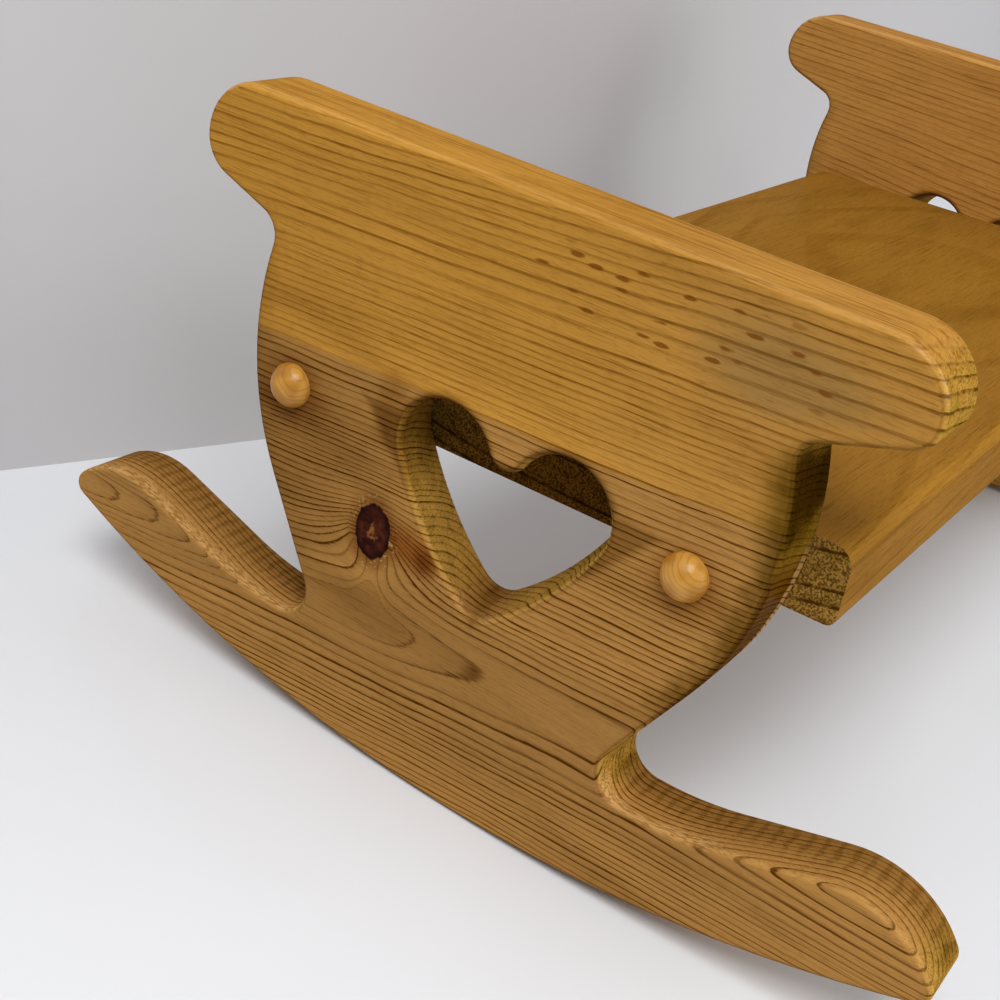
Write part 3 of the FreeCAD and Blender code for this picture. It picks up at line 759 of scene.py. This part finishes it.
    def finish(self) -> Material:
        """Builds the whole tree.

        Returns:
            The board's material.
        """
        board, shader, arms = self.board, self.shader, self.arms
        shown = self.line * self.darkness * (1.0 - self.golden * 0.42)
        shown = shown * (self.fibre * 1.1 + 1.0) * (1.0 - self.head_top * 0.7)
        if self.is_end_board:
            outer = abs(self.along).step(*arms.out) * self.height.fade(*arms.face_top)
            shown = shown * (1.0 - outer * arms.calm)
        shown = shown.math("MULTIPLY", board.contrast, clamp=True)
        wood = shader.mix(self.end * 0.85, self.planed_wood(shown), self.rough_end())
        wood = shader.tint(self.arris * (1.0 - self.end) * (1.0 - self.upward), wood, Tone.SIDE_ARRIS)
        # Painted highlight along the upward-facing arrises.
        wood = shader.tint(self.arris * self.upward, wood, Tone.TOP_ARRIS_PAINTED_HIGHLIGHT)
        streaks = self.wander(Layer.STREAKS).step(0.02, 0.2)
        wood = shader.tint(streaks * self.head_top, wood, Tone.TOP_STREAKS)
        if self.is_end_board:
            wood = self.sawn_arms(wood)
        # Real stains, and patches of painted shade and painted shadow on the near board and the seat.
        for stain_or_shade in board.stains:
            where = self.face if stain_or_shade.on_face else 1.0 - self.face
            wood = shader.tint(self.patch(stain_or_shade) * where, wood, stain_or_shade.tint)
        for flecks in board.flecks:
            wood = shader.mix(self.fleck_mask(flecks) * self.face, wood, flecks.colour)
        if board.heart:
            wood = self.worn_edges(wood)
        for knot in board.knots:
            wood = self.add_knot(knot, wood)
        rough = 0.4 + shown * 0.06 + self.fibre * 0.12 + self.end * 0.25
        relief = self.fibre * 0.7 + self.pores * self.end * 1.6
        sheen = self.arris * self.head_top * 0.5 + (1.0 - self.end) * 0.05
        return shader.close({
            "Base Color": wood, "Roughness": rough, "Normal": shader.bump(relief, 0.14, 0.6),
            "Coat Weight": sheen, "Coat Roughness": 0.2, "Specular IOR Level": 0.0,
        })

    def patch(self, stain_or_shade: StainOrPaintedShade) -> Value:
        """Draws a soft patch with an uneven edge, from 0 outside to 1 in its middle."""
        return (self.within(stain_or_shade)[2] + self.mottle * 0.8 + self.fibre * 0.5).fade(0.25, 1.0)

    def fleck_mask(self, flecks: Flecks) -> Value:
        """Scatters short marks along the fibres.

        Args:
            flecks: Where they gather.

        Returns:
            The marks from 0 to 1.
        """
        level = self.height - self.along * flecks.slope
        dots = self.shader.specks(self.along / flecks.length, level / flecks.width, 0.7)
        dots = (dots + self.wander(Layer.FLECK_EDGE) * 0.22).fade(0.15, 0.27)
        return dots * self.within(flecks)[2].fade(0.6, 1.05) * 0.85

    def add_knot(self, knot: Knot, wood: Socket) -> Socket:
        """Paints one knot over the wood: a halo, dust in two corners, and a cracked core with a dark rim.

        Args:
            knot: The knot.
            wood: The wood's colour so far.

        Returns:
            The new colour.
        """
        shader, ragged = self.shader, self.wander(Layer.KNOT_EDGE)
        across, up, away = self.within(knot)
        away = away + ragged * 0.3
        wood = shader.tint(away.fade(0.95, 1.75), wood, Tone.KNOT_HALO)
        dust = shader.specks(self.along / 1.2, self.height / 0.9, 0.5) - ragged * 0.5
        corners = (across - up).step(0.5, 1.2) + (up - across).step(1.1, 1.5) * 0.6
        dust = dust.fade(0.2, 0.4) * corners * away.step(0.98, 1.06) * away.fade(1.3, 1.6)
        wood = shader.mix(dust * 0.6, wood, knot.dust)
        core = shader.mix(ragged.step(-0.18, 0.2), knot.dark, knot.brown)
        waves = (away * 17.0 + ragged * 9.0).sine() * 0.5 + 0.5
        core = shader.tint(waves, core, Tone.KNOT_WAVES)
        core = shader.mix(away.step(0.7, 0.98) * 0.8, core, knot.rim)
        upright = abs(across * 3.0 + ragged * 4.0) + abs(up) * 1.6
        level = abs(up * 2.6 + 0.4 + ragged * 4.0) + abs(across) * 2.2
        core = shader.mix(upright.least(level).fade(0.25, 0.8) * 0.7, core, knot.crack)
        return shader.mix(away.fade(0.96, 1.03), wood, core)


@dataclass(frozen=True)
class PlugFinish:
    """Turned birch: pale wood with a fine figure, warm blotches and clear gloss."""

    name: str = "turned_birch"
    pale: Colour = srgb(200, 146, 62)
    warm: Colour = srgb(164, 106, 28)
    line: Colour = srgb(132, 78, 14)
    figure_turn: float = 0.6
    line_spacing: float = 1.25

    def finish(self) -> Material:
        """Builds the plugs' material.

        Returns:
            The material.
        """
        shader = Shader(self.name)
        x, y, z = shader.place()
        along = y * math.cos(self.figure_turn) + z * math.sin(self.figure_turn)
        across = z * math.cos(self.figure_turn) - y * math.sin(self.figure_turn)
        sway = shader.noise(along / 9.0, across / 4.0, x / 4.0, 2.0) - 0.5
        lines = ((across + abs(x) * 0.35 + sway * 2.4) / self.line_spacing).rest()
        drawn = lines.step(0.55, 0.9) * lines.fade(0.92, 1.0)
        fibre = shader.noise(along / 3.0, across / 0.16, x / 0.16, 2.0) - 0.5
        blotch = shader.noise(along / 6.0, across / 5.0, x / 5.0, 1.0)
        wood = shader.mix(blotch.step(0.38, 0.68) * 0.75, self.pale, self.warm)
        wood = shader.mix(drawn * 0.35, wood, self.line)
        wood = shader.mix(fibre * 0.9 + 0.35, wood, shader.mix(0.18, wood, self.line))
        normal = shader.bump(fibre + drawn * 0.3, 0.05, 0.35)
        return shader.close({
            "Base Color": wood, "Roughness": 0.3 + fibre * 0.1, "Normal": normal,
            "Coat Weight": 0.25, "Coat Roughness": 0.2, "Specular IOR Level": 0.16,
        })


@dataclass(frozen=True)
class ScrewFinish:
    """Zinc-plated steel with fine turning marks and a little dulling."""

    name: str = "zinc_plated_steel"
    bright: Colour = srgb(196, 198, 196)
    dull: Colour = srgb(150, 150, 142)

    def finish(self) -> Material:
        """Builds the screws' material.

        Returns:
            The material.
        """
        shader = Shader(self.name)
        x, y, z = shader.place()
        marks = shader.noise(x / 0.08, y / 2.0, z / 2.0, 2.0)
        cloud = shader.noise(x / 3.0, y / 3.0, z / 3.0, 3.0)
        metal = shader.mix(cloud.step(0.35, 0.7), self.bright, self.dull)
        normal = shader.bump(marks, 0.02, 0.4)
        return shader.close({
            "Base Color": metal, "Metallic": 1.0, "Roughness": cloud * 0.3 + 0.2, "Normal": normal,
        })


@dataclass
class ScrewSet:
    """The four countersunk wood screws: a cut thread on each, and a cross recess in its head."""

    # Share of the ridge's radius by which its middle stands off the core
    RIDGE_OUT = 0.4

    finish: Material
    length: float = 38.0
    head_radius: float = 4.1
    head_height: float = 2.0
    shank_radius: float = 2.1
    thread_start: float = 14.0
    core_radius: float = 1.5
    point_length: float = 7.0
    point_radius: float = 0.08
    pitch: float = 1.8
    ridge: float = 0.4
    recess_length: float = 4.4
    recess_width: float = 1.1
    recess_depth: float = 1.5
    overlap: float = 0.3
    sides: int = 32
    steps_a_turn: int = 24

    def named_sizes(self) -> dict[str, float]:
        """Lists the tree's inputs in metres, by the names that they have in the tree."""
        lengths = [field.name for field in fields(self) if field.type is float]
        return {name.replace("_", " ").title(): getattr(self, name) * MM for name in lengths}

    def tree(self) -> bpy.types.NodeTree:
        """Builds the tree that turns one screw and sets it at every point of a mesh.

        Returns:
            The node group.
        """
        group = bpy.data.node_groups.new("threaded_screws", "GeometryNodeTree")
        group.interface.new_socket("Geometry", in_out="INPUT", socket_type="NodeSocketGeometry")
        for name in self.named_sizes():
            group.interface.new_socket(name, in_out="INPUT", socket_type="NodeSocketFloat")
        group.interface.new_socket("Geometry", in_out="OUTPUT", socket_type="NodeSocketGeometry")
        tree = Tree(group)
        given = tree.node("NodeGroupInput").outputs
        size = {name: Value(tree, given[name]) for name in self.named_sizes()}
        pieces = [self.body(tree, size), self.thread(tree, size)]
        screw = tree.socket("GeometryNodeJoinGeometry", {0: pieces})
        side = tree.parts(tree.socket("GeometryNodeInputPosition", {}))[0].math("SIGN")
        turn = tree.point(0.0, side * (math.pi / 2.0), 0.0)
        inputs = {"Points": given["Geometry"], "Instance": screw, "Rotation": turn}
        placed = tree.socket("GeometryNodeInstanceOnPoints", inputs)
        real = tree.socket("GeometryNodeRealizeInstances", {0: placed})
        dressed = tree.socket("GeometryNodeSetMaterial", {"Geometry": real, "Material": self.finish})
        tree.node("NodeGroupOutput", None, {0: dressed})
        return group

    def lowered(self, tree: Tree, mesh: Socket, depth: Operand) -> Socket:
        """Moves a mesh down the screw."""
        down = tree.point(0.0, 0.0, -depth)
        return tree.socket("GeometryNodeTransform", {"Geometry": mesh, "Translation": down})

    def turned(self, tree: Tree, radii: Sequence[Operand], top: Operand, low: Operand) -> Socket:
        """Turns one round stretch of the screw between two levels below its head's face.

        Args:
            tree: The tree.
            radii: Radius at the top and at the bottom.
            top: How deep the top lies.
            low: How deep the bottom lies.

        Returns:
            The stretch's mesh.
        """
        inputs = {"Vertices": self.sides, "Radius Top": radii[0], "Radius Bottom": radii[1],
                  "Depth": low - top}
        return self.lowered(tree, tree.socket("GeometryNodeMeshCone", inputs, "Mesh"), low)

    def body(self, tree: Tree, size: dict[str, Value]) -> Socket:
        """Joins the head, shank, core and point, and cuts the recess.

        Args:
            tree: The tree.
            size: The tree's inputs by name.

        Returns:
            The body's mesh.
        """
        shank, core, overlap = size["Shank Radius"], size["Core Radius"], size["Overlap"]
        head_end, start, length = size["Head Height"], size["Thread Start"], size["Length"]
        tip = length - size["Point Length"]
        stretches = [
            self.turned(tree, (size["Head Radius"], shank), 0.0, head_end),
            self.turned(tree, (shank, shank), head_end - overlap, start),
            self.turned(tree, (core, core), start - overlap, tip),
            self.turned(tree, (core, size["Point Radius"]), tip - overlap, length),
        ]
        exact = {"solver": "EXACT"}
        whole = tree.socket("GeometryNodeMeshBoolean", {1: stretches}, operation="UNION", **exact)
        long, wide, deep = size["Recess Length"], size["Recess Width"], size["Recess Depth"] * 2.0
        bars = [tree.socket("GeometryNodeMeshCube", {"Size": tree.point(*sides, deep)}, "Mesh")
                for sides in ((long, wide), (wide, long))]
        return tree.socket("GeometryNodeMeshBoolean", {0: whole, 1: bars}, operation="DIFFERENCE", **exact)

    def thread(self, tree: Tree, size: dict[str, Value]) -> Socket:
        """Winds the thread's ridge round the core and down the point.

        Args:
            tree: The tree.
            size: The tree's inputs by name.

        Returns:
            The ridge's mesh.
        """
        ridge, length = size["Ridge"], size["Length"]
        tip = length - size["Point Length"]
        around = size["Core Radius"] + ridge * self.RIDGE_OUT
        shape = tree.socket("GeometryNodeCurvePrimitiveCircle", {"Resolution": 3, "Radius": ridge}, "Curve",
                            mode="RADIUS")
        runs = []
        for top, low, last in ((size["Thread Start"], tip, around), (tip, length - ridge * 2.0, ridge)):
            fall = low - top
            inputs = {"Resolution": self.steps_a_turn, "Rotations": fall / size["Pitch"],
                      "Start Radius": last, "End Radius": around, "Height": fall}
            spiral = tree.socket("GeometryNodeCurveSpiral", inputs)
            upright = tree.socket("GeometryNodeSetCurveNormal", {"Curve": spiral}, mode="Z_UP")
            inputs = {"Curve": upright, "Profile Curve": shape, "Fill Caps": True}
            runs.append(self.lowered(tree, tree.socket("GeometryNodeCurveToMesh", inputs), low))
        return tree.socket("GeometryNodeJoinGeometry", {0: runs})

    def build(self, nodes: Sequence[str]) -> bpy.types.Object:
        """Makes the screws in place of their plain CAD nodes.

        Args:
            nodes: The CAD screws' names.

        Returns:
            The finished piece.
        """
        heads = []
        for node in nodes:
            low, high = (Vector(corner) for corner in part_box(node))
            middle = (low + high) / 2.0
            heads.append((high.x if middle.x > 0.0 else low.x, middle.y, middle.z))
        mesh = bpy.data.meshes.new("wood_screws")
        mesh.from_pydata(heads, [], [])
        piece = bpy.data.objects.new("wood_screws", mesh)
        bpy.context.scene.collection.objects.link(piece)
        modifier = piece.modifiers.new("threads", "NODES")
        modifier.node_group = self.tree()
        sizes = self.named_sizes()
        for item in modifier.node_group.interface.items_tree:
            if item.name in sizes:
                modifier[item.identifier] = sizes[item.name]
        graph = bpy.context.evaluated_depsgraph_get()
        piece.data = bpy.data.meshes.new_from_object(piece.evaluated_get(graph), depsgraph=graph)
        piece.modifiers.clear()
        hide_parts(*nodes)
        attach(piece, "root")
        LOG.info("built %s with %d faces", piece.name, len(piece.data.polygons))
        return piece


class End(Enum):
    """The bench's two ends."""

    LEFT = "left"
    RIGHT = "right"


@dataclass
class EndFrame:
    """One end: its board and the two button plugs set in it."""

    end: End
    board: PineBoard
    plug: Material

    def dress(self) -> None:
        """Gives the end's CAD nodes their finishes."""
        word = self.end.value
        put_on(f"{word}_end_board", PineFinish(self.board).finish())
        for row in ROWS:
            put_on(f"{word}_{row}_plug", self.plug)


@dataclass
class Seat:
    """The seat board between the ends."""

    board: PineBoard

    def dress(self) -> None:
        """Gives the seat's CAD node its finish."""
        put_on("seat_board", PineFinish(self.board).finish())


def put_on(node: str, material: Material) -> None:
    """Puts a material on a CAD node's only slot.

    Args:
        node: The node's name.
        material: The material.
    """
    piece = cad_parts[node]
    for slot in piece.material_slots:
        slot.material = material
    if not piece.material_slots:
        piece.data.materials.append(material)
    LOG.info("dressed %s with %s", node, material.name)


@dataclass
class Studio:
    """The plain floor, the backdrop, the lamps and the camera."""

    floor_half_side: float = 3.0
    floor_colour: Colour = srgb(231, 233, 236)
    wall_colour: Colour = srgb(194, 192, 193)
    wall_height: float = 3.0
    wall_behind: float = 0.146
    wall_turn_at: float = -0.030
    wall_slant: float = 0.383
    wall_ease: float = 0.005
    wall_step: float = 0.012
    wall_steps: int = 20
    paint_cloud: float = 60.0
    paint_share: float = 0.05
    paint_grey: Colour = srgb(160, 160, 160)
    paint_rough: float = 0.85
    paint_specular: float = 0.2
    world_colour: Colour = srgb(236, 238, 242)
    world_level: float = 0.29
    key_power: float = 26.0
    key_side: float = 1.0
    key_place: Point3 = (-1.0, -0.5, 1.65)
    fill_power: float = 16.0
    fill_side: float = 1.5
    fill_place: Point3 = (0.45, -1.4, 0.5)
    lens_px: float = 1502.0
    sensor_mm: float = 36.0
    near_clip: float = 0.01
    aim: Point3 = (0.0, 0.0, 0.08)
    camera_place: Point3 = (-0.4356, -0.1555, 0.2483)
    camera_right: Point3 = (0.5694, -0.8017, 0.1819)
    camera_up: Point3 = (0.2937, 0.4051, 0.8658)

    def sheet(self, name: str, near: Sequence[Point3],
              far: Sequence[Point3], material: Material) -> None:
        """Stretches one sheet of the stage between two edges.

        Args:
            name: The sheet's name.
            near: Points of one edge in metres.
            far: As many points of the other edge.
            material: The sheet's material.
        """
        count = len(near)
        faces = [(i, i + 1, count + i + 1, count + i) for i in range(count - 1)]
        mesh = bpy.data.meshes.new(name)
        mesh.from_pydata([*near, *far], [], faces)
        mesh.materials.append(material)
        for face in mesh.polygons:
            face.use_smooth = True
        sheet = bpy.data.objects.new(name, mesh)
        bpy.context.scene.collection.objects.link(sheet)

    def wall_path(self) -> list[Point2]:
        """Gives the wall's foot: slanting on the left, then straight behind the bench.

        Returns:
            Its points in metres, from left to right.
        """
        half, steps = self.floor_half_side, self.wall_steps
        across = [-half, *(self.wall_turn_at + self.wall_step * i for i in range(-steps, steps + 1)), half]
        path = []
        for x in across:
            ahead = (self.wall_turn_at - x) * self.wall_slant / self.wall_ease
            bend = ahead if ahead > steps else math.log1p(math.exp(ahead))
            path.append((x, self.wall_behind + self.wall_ease * bend))
        return path

    def paint(self, name: str, colour: Colour, clear_behind: bool = False) -> Material:
        """Makes a matt, faintly uneven paint.

        Args:
            name: The material's name.
            colour: Its colour.
            clear_behind: Whether it can be looked through from behind.

        Returns:
            The material.
        """
        shader = Shader(name)
        x, y, z = shader.place()
        cloud = shader.noise(x / self.paint_cloud, y / self.paint_cloud, z / self.paint_cloud, 3.0)
        tone = shader.mix(cloud * self.paint_share, colour, self.paint_grey)
        inputs = {"Base Color": tone, "Roughness": self.paint_rough,
                  "Specular IOR Level": self.paint_specular}
        return shader.close(inputs, clear_behind)

    def lamp(self, name: str, place: Point3, side: float, power: float) -> None:
        """Hangs a square soft lamp aimed at the bench.

        Args:
            name: The lamp's name.
            place: Where it hangs, in metres.
            side: Its side, in metres.
            power: Its power in watts.
        """
        data = bpy.data.lights.new(name, "AREA")
        data.size, data.energy = side, power
        lamp = bpy.data.objects.new(name, data)
        lamp.location = place
        lamp.rotation_euler = (Vector(self.aim) - Vector(place)).to_track_quat("-Z", "Y").to_euler()
        bpy.context.scene.collection.objects.link(lamp)

    def set_world(self) -> None:
        """Lights the bench evenly from all round."""
        world = bpy.data.worlds.new("pale_room")
        bpy.context.scene.world = world
        world.use_nodes = True
        tree = Tree(world.node_tree)
        inputs = {"Color": self.world_colour, "Strength": self.world_level}
        tree.node("ShaderNodeOutputWorld", None, {"Surface": tree.socket("ShaderNodeBackground", inputs)})

    def set_camera(self) -> None:
        """Sets the camera at the viewing angle."""
        data = bpy.data.cameras.new("camera")
        data.sensor_width = self.sensor_mm
        data.lens = self.lens_px * self.sensor_mm / IMAGE_SIDE_PX
        data.clip_start = self.near_clip
        camera = bpy.data.objects.new("camera", data)
        right = Vector(self.camera_right).normalized()
        up = Vector(self.camera_up)
        up = (up - right * up.dot(right)).normalized()
        back = right.cross(up)
        turn = Matrix((right, up, back)).transposed().to_4x4()
        camera.matrix_world = Matrix.Translation(Vector(self.camera_place)) @ turn
        bpy.context.scene.collection.objects.link(camera)
        bpy.context.scene.camera = camera

    def build(self) -> None:
        """Builds the whole stage."""
        half, foot = self.floor_half_side, self.wall_path()
        self.sheet("floor", [(-half, -half, 0), (half, -half, 0)], [(-half, half, 0), (half, half, 0)],
                   self.paint("floor_paint", self.floor_colour))
        self.sheet("backdrop", [(x, y, 0.0) for x, y in foot], [(x, y, self.wall_height) for x, y in foot],
                   self.paint("wall_paint", self.wall_colour, clear_behind=True))
        self.lamp("key_lamp", self.key_place, self.key_side, self.key_power)
        self.lamp("fill_lamp", self.fill_place, self.fill_side, self.fill_power)
        self.set_world()
        self.set_camera()
        bpy.context.scene.view_settings.view_transform = "Standard"


NEAR_BOARD = PineBoard(
    name="knotty_pine_near", lay=Lay.ACROSS, seed=1.0, face_at=-174.0, depth_sign=1.0, grain_slope=0.062,
    pith_depth=((-130.0, 1.0), (-95.0, 3.2), (-72.0, 5.0), (-50.0, 5.7), (-20.0, 5.95), (0.5, 7.1),
                (35.0, 7.7), (60.0, 7.6), (75.0, 6.8), (90.0, 5.5), (105.0, 4.0), (130.0, 1.5)),
    band_low=40.5, band_high=43.5, low_run=((0.0, 0.0), (21.5, 14.8), (45.0, 40.6)),
    rings=((0.0, 0.0), (5.0, 5.0), (5.9, 6.0), (7.1, 7.0), (9.2, 8.0), (23.6, 17.0), (33.2, 22.3),
           (49.0, 33.6), (63.0, 41.0), (88.5, 55.6), (104.5, 60.4), (120.0, 67.0)),
    golden_from=64.0, tongue=(-56.0, -12.0),
    knots=(Knot(along=-27.5, height=65.0, half_along=5.4, half_height=7.5),),
    stains=(
        StainOrPaintedShade(-17.0, 65.5, 14.0, 8.0, (0.55, 0.34, 0.14, 0.9)),
        StainOrPaintedShade(-11.0, 64.5, 6.0, 5.5, (0.42, 0.26, 0.12, 0.85)),
        StainOrPaintedShade(-28.0, 98.0, 7.0, 13.0, (0.6, 0.5, 0.3, 0.6)),
        # Darker reddish halos round the two plugs: painted shadows of the plugs.
        StainOrPaintedShade(-57.5, 91.0, 14.0, 12.0, (0.62, 0.46, 0.3, 0.8)),
        StainOrPaintedShade(54.5, 92.0, 12.0, 11.0, (0.62, 0.46, 0.3, 0.7)),
        StainOrPaintedShade(62.0, 143.0, 30.0, 16.0, (0.72, 0.8, 1.15, 0.9)),
        StainOrPaintedShade(-62.0, 78.0, 55.0, 50.0, (0.58, 0.55, 0.5, 0.8)),
        StainOrPaintedShade(74.0, 118.0, 12.0, 28.0, (0.6, 0.62, 0.4, 0.8)),
        StainOrPaintedShade(10.0, 36.0, 130.0, 34.0, (0.7, 0.7, 0.74, 0.65)),
        StainOrPaintedShade(-100.0, 45.0, 48.0, 32.0, (0.8, 0.82, 0.9, 0.9)),
        StainOrPaintedShade(-22.0, 46.0, 28.0, 9.0, (0.8, 0.78, 0.74, 0.8)),
        # Near-black front wall below the head's nose: painted shade of the neck corner, reaching down the
        # wall.
        StainOrPaintedShade(75.0, 122.0, 15.0, 22.0, (0.16, 0.12, 0.08, 0.95), on_face=False),
        # Darker upper left wall inside the heart, under its lobe: painted shade.
        StainOrPaintedShade(-20.0, 96.0, 16.0, 20.0, (0.46, 0.37, 0.22, 0.9), on_face=False),
    ),
    flecks=(Flecks(36.0, 146.0, 54.0, 12.0),),
    heart=True,
)

FAR_BOARD = PineBoard(
    name="knotty_pine_far", lay=Lay.ACROSS, seed=5.0, face_at=174.0, depth_sign=-1.0, grain_slope=-0.03,
    pith_depth=((-130.0, 13.0), (0.0, 18.0), (130.0, 25.0)),
    band_low=60.0, band_high=64.0, low_run=((0.0, 0.0), (60.0, 54.0)),
    rings=((0.0, 0.0), (15.0, 6.0), (60.0, 32.0), (120.0, 60.0)),
    golden_from=500.0, contrast=0.45, early=srgb(186, 134, 66), late=srgb(112, 64, 6),
    heart=True,
)

SEAT_BOARD = PineBoard(
    name="seat_pine", lay=Lay.ALONG, seed=9.0, face_at=105.0, depth_sign=-1.0, grain_slope=0.02,
    pith_depth=((-155.0, 256.0), (-40.0, 262.0), (60.0, 257.0), (155.0, 263.0)),
    band_low=-12.0, band_high=-4.0, low_run=((0.0, 0.0), (60.0, 60.0)),
    rings=((0.0, 0.0), (240.0, 1.0), (320.0, 20.0)),
    golden_from=500.0, contrast=0.25, early=srgb(146, 102, 36), late=srgb(104, 62, 0),
    end_grain=srgb(164, 126, 60), end_pores=srgb(54, 32, 2), end_rings=0.5,
    end_pore_range=(0.36, 0.64), end_pore_share=0.85,
    # Darker seat ends, where they show through the hearts' openings: painted shade.
    stains=tuple(
        StainOrPaintedShade(end, -5.0, 20.0, 44.0, (0.36, 0.27, 0.16, 0.95), on_face=False) for end in (-155.0, 155.0)
    ),
)


def main() -> None:
    """Builds the stage, then dresses each sub-assembly in turn."""
    logging.basicConfig(level=logging.INFO, format="%(name)s: %(message)s")
    Studio().build()
    plug = PlugFinish().finish()
    EndFrame(End.LEFT, NEAR_BOARD, plug).dress()
    EndFrame(End.RIGHT, FAR_BOARD, plug).dress()
    Seat(SEAT_BOARD).dress()
    screws = [f"{end.value}_{row}_screw" for end in End for row in ROWS]
    ScrewSet(ScrewFinish().finish()).build(screws)


if __name__ == "__main__":
    main()
